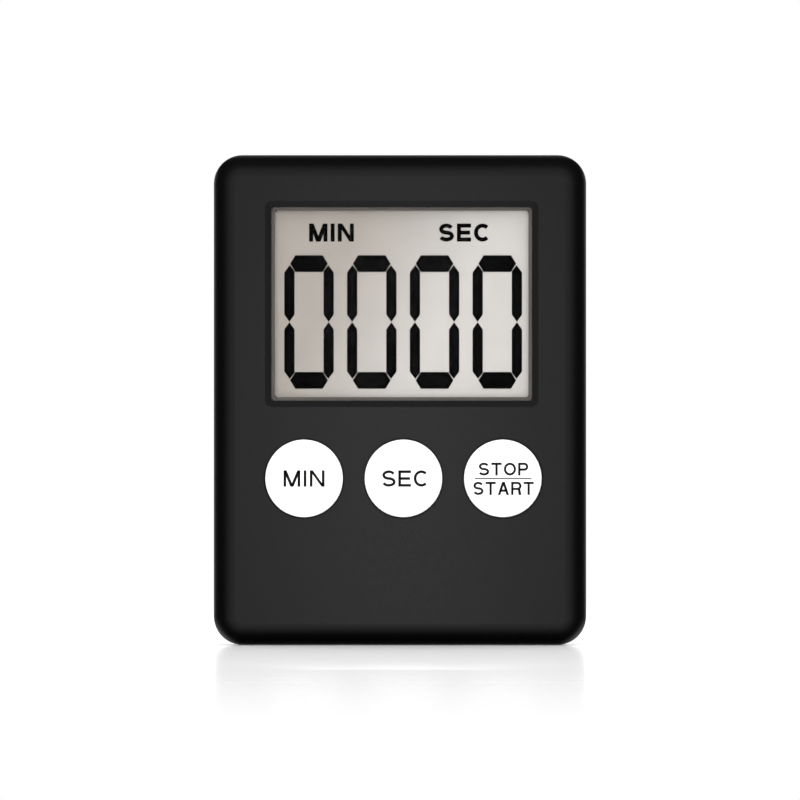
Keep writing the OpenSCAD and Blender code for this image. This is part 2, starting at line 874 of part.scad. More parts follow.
module battery_door() {
    skirt_out = door_d - 2 * door_skirt_inset;
    color([0.12, 0.12, 0.13]) upright() translate([0, door_y, 0]) {
        difference() {
            translate([0, 0, door_back]) mirror([0, 0, 1])
                rotate_extrude() rounded_strip(door_d / 2, door_t, door_edge);
            translate([0, 0, door_face]) coin_slot();
        }
        translate([0, 0, door_back - root])
            ring(skirt_out, skirt_out - 2 * door_skirt_t, lug_front - door_back + root);
        for (k = [0:lug_count - 1]) translate([0, 0, lug_back])
            ring_part(door_hole_d / 2 - seat_play, skirt_out / 2 - door_skirt_t / 2, lug_t,
                lug_start + k * 360 / lug_count, lug_arc);
    }
}

module battery_can() {
    color([0.78, 0.78, 0.78]) upright() translate([0, door_y, cell_back]) difference() {
        cylinder(d = cell_d, h = cell_h - leaf_t);
        translate([0, 0, cell_h - leaf_t - crimp_h])
            cylinder(d = cell_d - 2 * cap_inset + 2 * seal_ring_w, h = crimp_h + over);
    }
}

module battery_seal() {
    color([0.15, 0.3, 0.2]) upright() translate([0, door_y, cell_front - leaf_t - crimp_h])
        ring(cell_d - 2 * cap_inset + 2 * seal_ring_w, cell_d - 2 * cap_inset, crimp_h);
}

module battery_cap() {
    color([0.82, 0.82, 0.82]) upright() translate([0, door_y, cell_front - leaf_t - crimp_h])
        rotate_extrude() rounded_strip((cell_d - 2 * cap_inset) / 2, crimp_h + leaf_t, leaf_t);
}

// Foot under the board, and the riser between the foot and the leaf
module leaf_foot() {
    foot_back = board_back - leaf_t;
    low = min(leaf_back, foot_back);
    high = max(leaf_back, foot_back) + leaf_t;
    translate([riser_x, -leaf_w / 2, foot_back]) cube([leaf_foot_l, leaf_w, leaf_t]);
    translate([riser_x, -leaf_w / 2, low]) cube([leaf_t, leaf_w, high - low]);
}

module battery_positive_contact() {
    touch = cell_d / 2 + finger_play;
    finger_back = bay_floor + slide_play;
    color([0.80, 0.78, 0.72]) upright() translate([0, door_y, 0]) {
        leaf_foot();
        translate([touch, -leaf_w / 2, leaf_back]) cube([riser_x + leaf_t - touch, leaf_w, leaf_t]);
        translate([touch, -leaf_w / 2, finger_back])
            cube([finger_t, leaf_w, leaf_back + leaf_t - finger_back]);
    }
}

module battery_negative_contact() {
    color([0.80, 0.78, 0.72]) upright() translate([0, door_y, 0]) mirror([1, 0, 0]) {
        leaf_foot();
        translate([-leaf_w / 2, -leaf_w / 2, leaf_back])
            cube([riser_x + leaf_t + leaf_w / 2, leaf_w, leaf_t]);
        translate([0, 0, cell_front]) cylinder(d = dimple_d, h = leaf_lift + leaf_t / 2);
    }
}

front_case();
rear_case();
display_lens();
lens_tape();
lcd_front_polariser();
lcd_front_glass();
lcd_seal();
lcd_rear_glass();
lcd_reflector();
contact_strip();
circuit_board();
switch_pads();
board_screws();
min_button();
sec_button();
start_stop_button();
min_dome();
sec_dome();
start_stop_dome();
min_contact();
sec_contact();
start_stop_contact();
controller_chip();
crystal();
alarm_coil();
resistors();
capacitors();
transistor();
piezo_plate();
piezo_ceramic();
piezo_wires();
piezo_solder();
magnet();
magnet_glue();
battery_door();
battery_can();
battery_seal();
battery_cap();
battery_positive_contact();
battery_negative_contact();
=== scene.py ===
"""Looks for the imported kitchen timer: display figures, legends, door emblems and materials.

Everything is in metres, in the part's own frame: +Z up, the display faces -Y.
"""

import json
import math

import bmesh
import bpy
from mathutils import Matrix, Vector


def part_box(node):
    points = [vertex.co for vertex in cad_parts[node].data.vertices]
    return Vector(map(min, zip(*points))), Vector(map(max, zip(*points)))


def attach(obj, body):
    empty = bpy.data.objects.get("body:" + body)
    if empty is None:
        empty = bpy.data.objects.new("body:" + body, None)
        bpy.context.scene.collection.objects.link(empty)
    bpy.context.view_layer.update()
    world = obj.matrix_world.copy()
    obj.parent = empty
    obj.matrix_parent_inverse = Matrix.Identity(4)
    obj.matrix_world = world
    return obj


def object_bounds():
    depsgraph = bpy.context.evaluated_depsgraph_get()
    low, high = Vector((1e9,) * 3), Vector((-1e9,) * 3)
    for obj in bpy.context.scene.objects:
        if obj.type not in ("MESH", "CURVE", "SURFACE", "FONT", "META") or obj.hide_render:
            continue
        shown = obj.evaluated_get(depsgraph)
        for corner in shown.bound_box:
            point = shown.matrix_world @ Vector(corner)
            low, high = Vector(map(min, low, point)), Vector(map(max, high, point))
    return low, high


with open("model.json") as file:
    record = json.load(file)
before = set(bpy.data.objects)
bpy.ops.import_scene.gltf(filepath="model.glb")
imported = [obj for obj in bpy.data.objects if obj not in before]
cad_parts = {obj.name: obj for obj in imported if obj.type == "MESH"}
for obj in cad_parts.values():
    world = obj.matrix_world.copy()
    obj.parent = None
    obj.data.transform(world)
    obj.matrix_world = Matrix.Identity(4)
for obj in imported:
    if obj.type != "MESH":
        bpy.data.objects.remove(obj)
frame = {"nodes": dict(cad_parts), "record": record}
CAD_LOW, CAD_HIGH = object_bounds()

MM = 0.001
RIGHT, UP = Vector((1, 0, 0)), Vector((0, 0, 1))
FRONT, BACK = Vector((0, -1, 0)), Vector((0, 1, 0))

INK_THICK = 0.03 * MM       # printed and display marks
INK_LIFT = 0.005 * MM       # keeps a mark from sharing a plane with the piece it is on


# ---------------------------------------------------------------- material values

NOISE_ROUGH = 0.55
CAP_DEPTH = 0.75 * MM       # white part of a button, from its face
CAP_EDGE = 1.1              # depth where the skirt's painted shade is full, as a multiple of CAP_DEPTH
CAP_WHITE = (0.90, 0.90, 0.895)
# Painted shade: black for the skirt of a button, which sits in the shaded gap below the face of the
# case
SKIRT_PAINTED_SHADE = (0.004, 0.004, 0.004)
# Painted shading on the display film: the first colour at its upper left, the second towards its lower
# right
FILM_SHADED = (0.322, 0.294, 0.262)
FILM_LIT = (0.477, 0.459, 0.437)
FILM_RAMP = (0.28, 0.64)    # where the painted shade is full, and where the film is fully lit
FILM_ACROSS = 0.74          # share of the painted shading that runs from left to right
FILM_DOWN = 0.26            # and from top to bottom


# ---------------------------------------------------------------- materials

def new_material(name):
    material = bpy.data.materials.new(name)
    material.use_nodes = True
    tree = material.node_tree
    return material, tree, tree.nodes["Principled BSDF"]


def coordinates(tree, stretch=(1, 1, 1)):
    """Object coordinates in metres, stretched along each axis."""
    place = tree.nodes.new("ShaderNodeTexCoord")
    mapping = tree.nodes.new("ShaderNodeMapping")
    mapping.inputs["Scale"].default_value = stretch
    tree.links.new(place.outputs["Object"], mapping.inputs["Vector"])
    return mapping.outputs["Vector"]


def noise(tree, vector, grain, detail=3.0):
    """Noise whose features are about grain metres across."""
    node = tree.nodes.new("ShaderNodeTexNoise")
    node.inputs["Scale"].default_value = 1 / grain
    node.inputs["Detail"].default_value = detail
    node.inputs["Roughness"].default_value = NOISE_ROUGH
    tree.links.new(vector, node.inputs["Vector"])
    return node.outputs["Fac"]


def span(tree, value, low, high, start=0.3, end=0.7):
    """Maps a noise value to a range."""
    node = tree.nodes.new("ShaderNodeMapRange")
    node.inputs["From Min"].default_value = start
    node.inputs["From Max"].default_value = end
    node.inputs["To Min"].default_value = low
    node.inputs["To Max"].default_value = high
    tree.links.new(value, node.inputs["Value"])
    return node.outputs["Result"]


def two_tone(tree, value, first, second, start=0.3, end=0.7):
    """Colour that runs from first to second as value runs from start to end."""
    ramp = tree.nodes.new("ShaderNodeValToRGB")
    ramp.color_ramp.elements[0].position = start
    ramp.color_ramp.elements[0].color = (*first, 1)
    ramp.color_ramp.elements[1].position = end
    ramp.color_ramp.elements[1].color = (*second, 1)
    tree.links.new(value, ramp.inputs["Fac"])
    return ramp.outputs["Color"]


def bump(tree, shader, height, depth):
    """Bump of about depth metres."""
    node = tree.nodes.new("ShaderNodeBump")
    node.inputs["Strength"].default_value = 1.0
    node.inputs["Distance"].default_value = depth
    tree.links.new(height, node.inputs["Height"])
    tree.links.new(node.outputs["Normal"], shader.inputs["Normal"])


def axis(tree, vector, name):
    """One part of a vector: X, Y or Z."""
    split = tree.nodes.new("ShaderNodeSeparateXYZ")
    tree.links.new(vector, split.inputs["Vector"])
    return split.outputs[name]


def add(tree, first, second):
    node = tree.nodes.new("ShaderNodeMath")
    node.operation = "ADD"
    tree.links.new(first, node.inputs[0])
    tree.links.new(second, node.inputs[1])
    return node.outputs[0]


def shade(colour, factor):
    return tuple(min(1.0, c * factor) for c in colour)


def surface(name, colour, rough, grain=0.3 * MM, depth=0.004 * MM, mottle=0.12, rough_change=0.06,
            metallic=0.0, specular=0.5, stretch=(1, 1, 1), broad=12 * MM):
    """A moulded, rolled or coated surface: a fine bump, and slow changes in tone and gloss."""
    material, tree, shader = new_material(name)
    fine = noise(tree, coordinates(tree, stretch), grain)
    slow = noise(tree, coordinates(tree), broad, detail=2.0)
    tone = two_tone(tree, slow, shade(colour, 1 - mottle), shade(colour, 1 + mottle))
    tree.links.new(tone, shader.inputs["Base Color"])
    tree.links.new(span(tree, fine, rough - rough_change, rough + rough_change),
                   shader.inputs["Roughness"])
    shader.inputs["Metallic"].default_value = metallic
    shader.inputs["Specular IOR Level"].default_value = specular
    bump(tree, shader, fine, depth)
    return material


def lens_material():
    """Clear plastic: nearly all light goes straight through, with a faint polish haze."""
    material, tree, shader = new_material("lens_clear")
    haze = noise(tree, coordinates(tree), 6 * MM, detail=4.0)
    tree.links.new(span(tree, haze, 0.03, 0.09), shader.inputs["Roughness"])
    tree.links.new(two_tone(tree, haze, (0.01, 0.01, 0.01), (0.02, 0.02, 0.02)),
                   shader.inputs["Base Color"])
    tree.links.new(span(tree, haze, 0.02, 0.04), shader.inputs["Alpha"])
    return material


def display_material():
    """Pale film of the display, with painted shading: a little darker and browner at its upper left,
    paler to the right and towards the bottom.
    """
    material, tree, shader = new_material("display_film")
    low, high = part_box("lcd_front_polariser")
    place = coordinates(tree)
    across = span(tree, axis(tree, place, "X"), 0, FILM_ACROSS, low.x, high.x)
    down = span(tree, axis(tree, place, "Z"), FILM_DOWN, 0, low.z, high.z)
    # Painted shading: darker at the upper left of the film, paler to the right and towards the bottom
    painted_shading = two_tone(tree, add(tree, across, down), FILM_SHADED, FILM_LIT, *FILM_RAMP)
    tree.links.new(painted_shading, shader.inputs["Base Color"])
    fine = noise(tree, place, 0.12 * MM)
    tree.links.new(span(tree, fine, 0.50, 0.60), shader.inputs["Roughness"])
    bump(tree, shader, fine, 0.002 * MM)
    return material


def button_material():
    """White cap; below the face of the case its skirt is coloured black, a painted shade for the gap
    round the button.
    """
    material, tree, shader = new_material("button_white")
    low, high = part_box("min_button")
    place = coordinates(tree)
    depth = span(tree, axis(tree, place, "Y"), 0, 1, low.y, high.y)
    share = CAP_DEPTH / (high.y - low.y)
    # Painted shade: white cap, then black where the skirt sits in the shaded gap
    tone = two_tone(tree, depth, CAP_WHITE, SKIRT_PAINTED_SHADE, share, share * CAP_EDGE)
    tree.links.new(tone, shader.inputs["Base Color"])
    fine = noise(tree, place, 0.2 * MM)
    tree.links.new(span(tree, fine, 0.34, 0.42), shader.inputs["Roughness"])
    bump(tree, shader, fine, 0.002 * MM)
    return material


def board_material():
    """Green solder mask over copper tracks."""
    material, tree, shader = new_material("board_green")
    cells = tree.nodes.new("ShaderNodeTexVoronoi")
    cells.feature = "DISTANCE_TO_EDGE"
    cells.distance = "CHEBYCHEV"
    cells.inputs["Scale"].default_value = 1 / (2.6 * MM)
    tree.links.new(coordinates(tree), cells.inputs["Vector"])
    tracks = span(tree, cells.outputs["Distance"], 1, 0, 0.06, 0.10)
    tree.links.new(two_tone(tree, tracks, (0.02, 0.10, 0.04), (0.05, 0.21, 0.08), 0, 1),
                   shader.inputs["Base Color"])
    tree.links.new(span(tree, noise(tree, coordinates(tree), 0.5 * MM), 0.25, 0.4),
                   shader.inputs["Roughness"])
    bump(tree, shader, tracks, 0.02 * MM)
    return material


def layered_rubber():
    """Conductive strip: thin dark layers between pale ones, across its length."""
    material, tree, shader = new_material("strip_rubber")
    wave = tree.nodes.new("ShaderNodeTexWave")
    wave.bands_direction = "X"
    wave.inputs["Scale"].default_value = 1 / (1.2 * MM)
    wave.inputs["Distortion"].default_value = 0.1
    tree.links.new(coordinates(tree), wave.inputs["Vector"])
    tree.links.new(two_tone(tree, wave.outputs["Fac"], (0.03, 0.03, 0.03), (0.45, 0.40, 0.40)),
                   shader.inputs["Base Color"])
    tree.links.new(span(tree, noise(tree, coordinates(tree), 0.2 * MM), 0.6, 0.8),
                   shader.inputs["Roughness"])
    return material


def brushed(name, colour, rough=0.3):
    """Metal brushed along X."""
    return surface(name, colour, rough, grain=0.12 * MM, depth=0.003 * MM, mottle=0.06,
                   rough_change=0.10, metallic=1.0, stretch=(0.03, 1, 1), broad=4 * MM)


def make_materials():
    return {
        # case_black, rear_black and door_black stand for one black plastic: the front case is darker,
        # a painted shade on its rims, and the rear and door are lighter, painted light for the back
        "case_black": surface("case_black", (0.0008, 0.0008, 0.0009), 0.40, grain=0.22 * MM,
                              depth=0.0025 * MM),
        "rear_black": surface("rear_black", (0.0022, 0.0022, 0.0023), 0.42, grain=0.25 * MM,
                              depth=0.006 * MM),
        "door_black": surface("door_black", (0.0022, 0.0022, 0.0023), 0.36, grain=0.25 * MM,
                              depth=0.003 * MM),
        "lens_clear": lens_material(),
        "tape_grey": surface("tape_grey", (0.085, 0.075, 0.067), 0.55, grain=0.15 * MM),
        "polariser": display_material(),
        "lcd_glass": surface("lcd_glass", (0.55, 0.60, 0.60), 0.08, depth=0.0005 * MM),
        "lcd_seal": surface("lcd_seal", (0.30, 0.28, 0.22), 0.5),
        "reflector": brushed("reflector", (0.60, 0.60, 0.58), 0.5),
        "strip_rubber": layered_rubber(),
        "board_green": board_material(),
        "pad_gold": surface("pad_gold", (0.85, 0.62, 0.25), 0.3, metallic=1.0),
        "screw_steel": brushed("screw_steel", (0.60, 0.60, 0.62)),
        "button_white": button_material(),
        "dome_rubber": surface("dome_rubber", (0.60, 0.60, 0.58), 0.55, grain=0.4 * MM),
        "carbon": surface("carbon", (0.02, 0.02, 0.02), 0.7),
        "chip_black": surface("chip_black", (0.015, 0.015, 0.016), 0.3, grain=0.6 * MM),
        "crystal_steel": brushed("crystal_steel", (0.68, 0.68, 0.70), 0.25),
        "coil_ferrite": surface("coil_ferrite", (0.04, 0.04, 0.042), 0.6, depth=0.01 * MM),
        "resistor_black": surface("resistor_black", (0.025, 0.025, 0.03), 0.35),
        "capacitor_tan": surface("capacitor_tan", (0.38, 0.26, 0.15), 0.5),
        "transistor_black": surface("transistor_black", (0.018, 0.018, 0.02), 0.5),
        "brass_disc": surface("brass_disc", (0.90, 0.52, 0.22), 0.3, metallic=0.5, broad=3 * MM),
        "ceramic_white": surface("ceramic_white", (0.72, 0.71, 0.68), 0.4, metallic=0.5),
        "wire_red": surface("wire_red", (0.42, 0.02, 0.015), 0.45),
        "solder": surface("solder", (0.68, 0.68, 0.70), 0.25, metallic=1.0, broad=1 * MM),
        "magnet_silver": surface("magnet_silver", (0.86, 0.86, 0.86), 0.35, grain=0.12 * MM,
                                 depth=0.003 * MM, mottle=0.07, metallic=0.4,
                                 stretch=(0.05, 1, 1), broad=5 * MM),
        "glue": surface("glue", (0.62, 0.55, 0.36), 0.4),
        "cell_steel": brushed("cell_steel", (0.72, 0.72, 0.72), 0.22),
        "cell_seal": surface("cell_seal", (0.04, 0.10, 0.06), 0.5),
        "contact_plated": brushed("contact_plated", (0.70, 0.66, 0.56), 0.3),
    }


def dress_nodes(materials):
    """Gives every CAD node the material of its slot."""
    for part in frame["record"]["subparts"]:
        node = frame["nodes"][part["node"]]
        node.data.materials.clear()
        node.data.materials.append(materials[part["material_slot"]])


# ---------------------------------------------------------------- flat marks

def piece(name, mesh, material, body):
    """Adds a mesh as a piece that moves with a body."""
    item = bpy.data.objects.new(name, mesh)
    bpy.context.scene.collection.objects.link(item)
    mesh.materials.append(material)
    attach(item, body)


def prism_mesh(name, outlines, origin, right, up, out, thick):
    """Extrudes closed outlines, given in metres along right and up from origin, by thick along out."""
    mesh = bpy.data.meshes.new(name)
    build = bmesh.new()
    for outline in outlines:
        base = [build.verts.new(origin + right * x + up * y) for x, y in outline]
        top = [build.verts.new(v.co + out * thick) for v in base]
        count = len(base)
        build.faces.new(list(reversed(base)))
        build.faces.new(top)
        for i in range(count):
            j = (i + 1) % count
            build.faces.new([base[i], base[j], top[j], top[i]])
    bmesh.ops.triangulate(build, faces=[f for f in build.faces if len(f.verts) > 4])
    bmesh.ops.recalc_face_normals(build, faces=build.faces)
    build.to_mesh(mesh)
    build.free()
    return mesh


def stroke(points, width, closed=False):
    """Outlines of a line of the given width along points, with mitred corners."""
    points = [Vector(p) for p in points]
    count = len(points)
    sides = []
    for i, p in enumerate(points):
        before = points[i - 1] if closed or i > 0 else None
        after = points[(i + 1) % count] if closed or i < count - 1 else None
        steps = []
        if before is not None:
            steps.append((p - before).normalized())
        if after is not None:
            steps.append((after - p).normalized())
        along = sum(steps, Vector((0, 0))).normalized()
        across = Vector((-along.y, along.x))
        flat = Vector((-steps[0].y, steps[0].x))
        reach = width / 2 / max(0.35, across.dot(flat))
        sides.append((p + across * reach, p - across * reach))
    spans = count if closed else count - 1
    quads = []
    for i in range(spans):
        a, b = sides[i], sides[(i + 1) % count]
        quads.append([a[0], a[1], b[1], b[0]])
    return quads


def arc(cx, cy, rx, ry, start, end, steps=14):
    """Points on an ellipse, from one angle to another in degrees."""
    turn = [math.radians(start + (end - start) * i / steps) for i in range(steps + 1)]
    return [(cx + rx * math.cos(t), cy + ry * math.sin(t)) for t in turn]


def bar(x, y, w, h):
    return [(x, y), (x + w, y), (x + w, y + h), (x, y + h)]


def slant(x_low, x_high, w, h):
    """Slanted bar that is cut level at the bottom and at the top."""
    return [(x_low, 0), (x_low + w, 0), (x_high + w, h), (x_high, h)]


def letter(name, w, h, pen):
    """Outlines of a plain capital that fills a box w by h."""
    m = h / 2
    wide = pen * 1.12
    if name == "M":
        point = w / 2 - wide / 2
        return [bar(0, 0, pen, h), bar(w - pen, 0, pen, h), slant(point, 0, wide, h),
                slant(point, w - wide, wide, h)]
    if name == "I":
        return [bar((w - pen) / 2, 0, pen, h)]
    if name == "N":
        return [bar(0, 0, pen, h), bar(w - pen, 0, pen, h), slant(w - wide, 0, wide, h)]
    if name == "E":
        return [bar(0, 0, pen, h), bar(0, 0, w, pen), bar(0, h - pen, w, pen),
                bar(0, m - pen / 2, w * 0.93, pen)]
    if name == "L":
        return [bar(0, 0, pen, h), bar(0, 0, w, pen)]
    if name == "T":
        return [bar(0, h - pen, w, pen), bar((w - pen) / 2, 0, pen, h)]
    if name == "A":
        top = (w - wide) / 2
        return [slant(0, top, wide, h), slant(w - wide, top, wide, h),
                bar(w * 0.2, h * 0.24, w * 0.6, pen)]
    edge, ceiling = pen / 2, h - pen / 2
    rx, ry = w / 2 - edge, m - edge
    if name == "C":
        return stroke(arc(edge + rx * 1.06, m, rx * 1.06, ry, 46, 314, 24), pen)
    if name == "O":
        return stroke(arc(w / 2, m, rx, ry, 0, 345, 23), pen, True)
    if name == "S":
        bowl = ry / 2
        upper = arc(w / 2, m + bowl, rx * 0.93, bowl, 20, 270, 16)
        lower = arc(w / 2, m - bowl, rx, bowl, 90, -160, 16)
        return stroke(upper + lower[1:], pen)
    # P, and R with a leg
    fold = h * 0.46
    bowl = (ceiling - fold) / 2
    bend = arc(w - edge - bowl, fold + bowl, bowl, bowl, 90, -90, 14)
    outlines = [bar(0, 0, pen, h)] + stroke([(edge, ceiling)] + bend + [(edge, fold)], pen)
    if name == "R":
        outlines.append([(w - wide * 1.1, 0), (w, 0), (w * 0.62 + wide, fold), (w * 0.62, fold)])
    return outlines


LETTER_WIDTH = {"M": 1.0, "I": 0.24, "N": 0.88, "E": 0.78, "S": 0.84, "C": 0.90, "T": 0.82,
                "O": 0.96, "P": 0.80, "R": 0.84, "A": 0.92, "L": 0.72}


def shift(outlines, x, y):
    return [[(p[0] + x, p[1] + y) for p in outline] for outline in outlines]


def word(text, width, height, pen, gap=0.16):
    """Outlines of a word that fills width by height, centred on its origin."""
    widths = [LETTER_WIDTH[c] for c in text]
    total = sum(widths) + gap * (len(text) - 1)
    scale = width / total
    outlines = []
    x = -width / 2
    for c, share in zip(text, widths):
        outlines += shift(letter(c, share * scale, height, pen), x, -height / 2)
        x += (share + gap) * scale
    return outlines


# ---------------------------------------------------------------- display figures

DIGIT_W = 8.62 * MM
DIGIT_H = 23.25 * MM
DIGIT_PITCH = 10.94 * MM
DIGITS_DROP = 3.15 * MM         # middle of the figures below the middle of the display
DIGITS_SHIFT = 0.25 * MM        # and to the right of it
BAR_W = 1.78 * MM               # upright segments
BAR_POINT = 1.28 * MM           # length of their points
CAP_H = 2.9 * MM                # level segments
CAP_POINT = 0.9 * MM            # length of their points
SEGMENT_GAP = 0.13 * MM         # half the gap between two segments
MIDDLE_GAP = 0.03 * MM          # half the gap between the tips at mid height
LABEL_H = 3.13 * MM
LABEL_PEN = 0.7 * MM
LABEL_RISE = 12.44 * MM         # middle of the labels above the middle of the display
MIN_LABEL_X = -12.24 * MM
SEC_LABEL_X = 10.95 * MM


def mirror(outline, sx, sy):
    return [(x * sx, y * sy) for x, y in outline]


def digit_zero():
    """The six lit segments of a 0; the middle one is off."""
    left, top = -DIGIT_W / 2, DIGIT_H / 2
    inner, middle = left + BAR_W, left + BAR_W / 2
    tip = top - CAP_H / 2 - 2 * SEGMENT_GAP
    upright = [
        (left, BAR_POINT + MIDDLE_GAP), (middle, MIDDLE_GAP), (inner, BAR_POINT + MIDDLE_GAP),
        (inner, top - CAP_H + SEGMENT_GAP), (middle + SEGMENT_GAP / 2, tip),
        (left, tip - BAR_POINT),
    ]
    point = left + BAR_W / 2 + SEGMENT_GAP
    level = [
        (point + CAP_POINT, top), (-point - CAP_POINT, top), (-point, top - CAP_H / 2),
        (-point - CAP_POINT, top - CAP_H), (point + CAP_POINT, top - CAP_H),
        (point, top - CAP_H / 2),
    ]
    uprights = [mirror(upright, sx, sy) for sx in (1, -1) for sy in (1, -1)]
    return uprights + [level, mirror(level, 1, -1)]


def display_marks(ink):
    low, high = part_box("lcd_front_polariser")
    middle = Vector(((low.x + high.x) / 2, low.y - INK_LIFT, (low.z + high.z) / 2))
    figures = []
    for place in range(4):
        x = (place - 1.5) * DIGIT_PITCH + DIGITS_SHIFT
        figures += shift(digit_zero(), x, -DIGITS_DROP)
    mesh = prism_mesh("display_digits", figures, middle, RIGHT, UP, FRONT, INK_THICK)
    piece("display_digits", mesh, ink, "case")
    labels = shift(word("MIN", 7.8 * MM, LABEL_H, LABEL_PEN), MIN_LABEL_X, LABEL_RISE)
    labels += shift(word("SEC", 9.0 * MM, LABEL_H, LABEL_PEN), SEC_LABEL_X, LABEL_RISE)
    mesh = prism_mesh("display_labels", labels, middle, RIGHT, UP, FRONT, INK_THICK)
    piece("display_labels", mesh, ink, "case")


# ---------------------------------------------------------------- button legends

LEGEND_H = 2.85 * MM            # a word that has a button to itself
LEGEND_PEN = 0.48 * MM
STOP_H = 2.25 * MM
STOP_RISE = 1.64 * MM           # above the middle of the button
START_H = 2.3 * MM
START_DROP = 1.72 * MM          # below it
PAIR_SHIFT = 0.1 * MM
PAIR_PEN = 0.41 * MM            # two words on one button
DIVIDER = [(-4.9 * MM, 0), (5.0 * MM, 0)]
DIVIDER_W = 0.3 * MM


def print_base(node):
    """Middle of the back of the print on a button."""
    low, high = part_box(node)
    return Vector(((low.x + high.x) / 2, low.y - INK_LIFT + INK_THICK, (low.z + high.z) / 2))


def legend(node, outlines, ink, name):
    """Print on a button. It is let into the face, and stands out of it by INK_LIFT."""
    mesh = prism_mesh(name, outlines, print_base(node), RIGHT, UP, FRONT, INK_THICK)
    piece(name, mesh, ink, node)


def button_marks(ink, pale_ink):
    legend("min_button", word("MIN", 7.15 * MM, LEGEND_H, LEGEND_PEN), ink, "min_legend")
    sec = shift(word("SEC", 8.1 * MM, LEGEND_H, LEGEND_PEN), 0.3 * MM, 0)
    legend("sec_button", sec, ink, "sec_legend")
    both = shift(word("STOP", 8.67 * MM, STOP_H, PAIR_PEN), PAIR_SHIFT, STOP_RISE)
    both += shift(word("START", 10.55 * MM, START_H, PAIR_PEN), PAIR_SHIFT, -START_DROP)
    legend("start_stop_button", both, ink, "start_stop_legend")
    legend("start_stop_button", stroke(DIVIDER, DIVIDER_W), pale_ink, "start_stop_line")


# ---------------------------------------------------------------- door emblems

EMBLEM_HIGH = 0.14 * MM
EMBLEM_LINE = 0.24 * MM
ARROW_LINE = 0.7 * EMBLEM_LINE
ARROW_HEAD = 0.5 * MM           # half the width of an arrow's head
ARROW_REACH = 1.3               # length of the head, as a multiple of ARROW_HEAD
ARROW_RADIUS = 8.8 * MM
WORD_RADIUS = 8.5 * MM
WORD_H = 1.35 * MM
LETTER_SHARE = 0.8              # width of the letters on the door, as a share of their height
POINTER = [(7.3 * MM, 0), (8.7 * MM, 0.75 * MM), (8.7 * MM, -0.75 * MM)]
CELL_RISE = 5.1 * MM            # top of the cell pictogram above the middle of the door
CELL_HALF_W = 4.6 * MM
CELL_HALF_H = 1.15 * MM
CELL_SIDE = 0.95 * MM
PLUS_HALF_W = 0.7 * MM
PLUS_HALF_H = 0.45 * MM


def turned(outlines, angle, radius):
    """Moves outlines out to radius at an angle, with their tops toward the middle."""
    turn = math.radians(angle)
    out = Vector((math.cos(turn), math.sin(turn)))
    along = Vector((-out.y, out.x))
    return [[tuple(out * (radius - p[1]) + along * p[0]) for p in outline] for outline in outlines]


def arc_word(text, angle, spacing):
    """Letters along an arc about the middle of the door, spacing degrees apart."""
    outlines = []
    for i, c in enumerate(text):
        width = LETTER_WIDTH[c] * WORD_H * LETTER_SHARE
        shape = shift(letter(c, width, WORD_H, EMBLEM_LINE), -width / 2, -WORD_H / 2)
        outlines += turned(shape, angle + (i - (len(text) - 1) / 2) * spacing, WORD_RADIUS)
    return outlines


def arc_arrow(start, end):
    """Thin arc with a small head at its end."""
    outlines = stroke(arc(0, 0, ARROW_RADIUS, ARROW_RADIUS, start, end), ARROW_LINE)
    way = math.copysign(1, end - start)
    tip = [(way * ARROW_HEAD * ARROW_REACH, 0), (0, ARROW_HEAD), (0, -ARROW_HEAD)]
    if way < 0:
        tip.reverse()
    return outlines + turned([tip], end, ARROW_RADIUS)


def cell_pictogram():
    """Button cell seen from the side and a little above."""
    top = arc(0, CELL_RISE, CELL_HALF_W, CELL_HALF_H, 0, 345, 23)
    edge = arc(0, CELL_RISE - CELL_SIDE, CELL_HALF_W, CELL_HALF_H, 180, 360, 20)
    side = [(-CELL_HALF_W, CELL_RISE)] + edge + [(CELL_HALF_W, CELL_RISE)]
    level = [(-PLUS_HALF_W, CELL_RISE), (PLUS_HALF_W, CELL_RISE)]
    upright = [(0, CELL_RISE - PLUS_HALF_H), (0, CELL_RISE + PLUS_HALF_H)]
    outlines = stroke(top, EMBLEM_LINE, True)
    for line in (side, level, upright):
        outlines += stroke(line, EMBLEM_LINE)
    return outlines


def door_marks(material):
    """Raised marks on the door: turning directions, a pointer and the cell that goes in."""
    low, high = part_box("battery_door")
    middle = Vector(((low.x + high.x) / 2, high.y - INK_LIFT, (low.z + high.z) / 2))
    marks = {
        "door_open_word": arc_word("OPEN", angle=228, spacing=9.5),
        "door_close_word": arc_word("CLOSE", angle=40, spacing=9.2),
        "door_open_arrow": arc_arrow(start=249, end=290),
        "door_close_arrow": arc_arrow(start=95, end=68),
        "door_pointer": [POINTER],
        "door_pictogram": cell_pictogram(),
    }
    for name, outlines in marks.items():
        mesh = prism_mesh(name, outlines, middle, -RIGHT, UP, BACK, EMBLEM_HIGH)
        piece(name, mesh, material, "battery_door")


# ---------------------------------------------------------------- stage

FLOOR_RADIUS = 0.3
FLOOR_FADE = 0.08       # where the floor starts to fade
FLOOR_ROUGH = 0.19
ROOM_LIGHT = 0.96
# Direction, half width in degrees and strength of each panel that gloss sees
GLOSS_PANELS = [
    ((0, -1, 0.08), 62, 0.5),
    ((0, 1, -0.05), 34, 0.42),
    ((0, 1, 0.06), 14, 0.7),
    ((0.57, 0.66, -0.5), 29, 0.75),
    ((-0.57, 0.66, -0.5), 29, 0.75),
    ((0.55, 0.83, 0.1), 13, 0.8),
    ((-0.55, 0.83, 0.1), 13, 0.8),
    ((0, 0.8, 0.6), 18, 0.35),
]
CAMERA_AWAY = 1.3
VIEW_WIDTH = 0.1398         # width of the view at the middle of the case
CAMERA_CLIP = (0.05, 20)


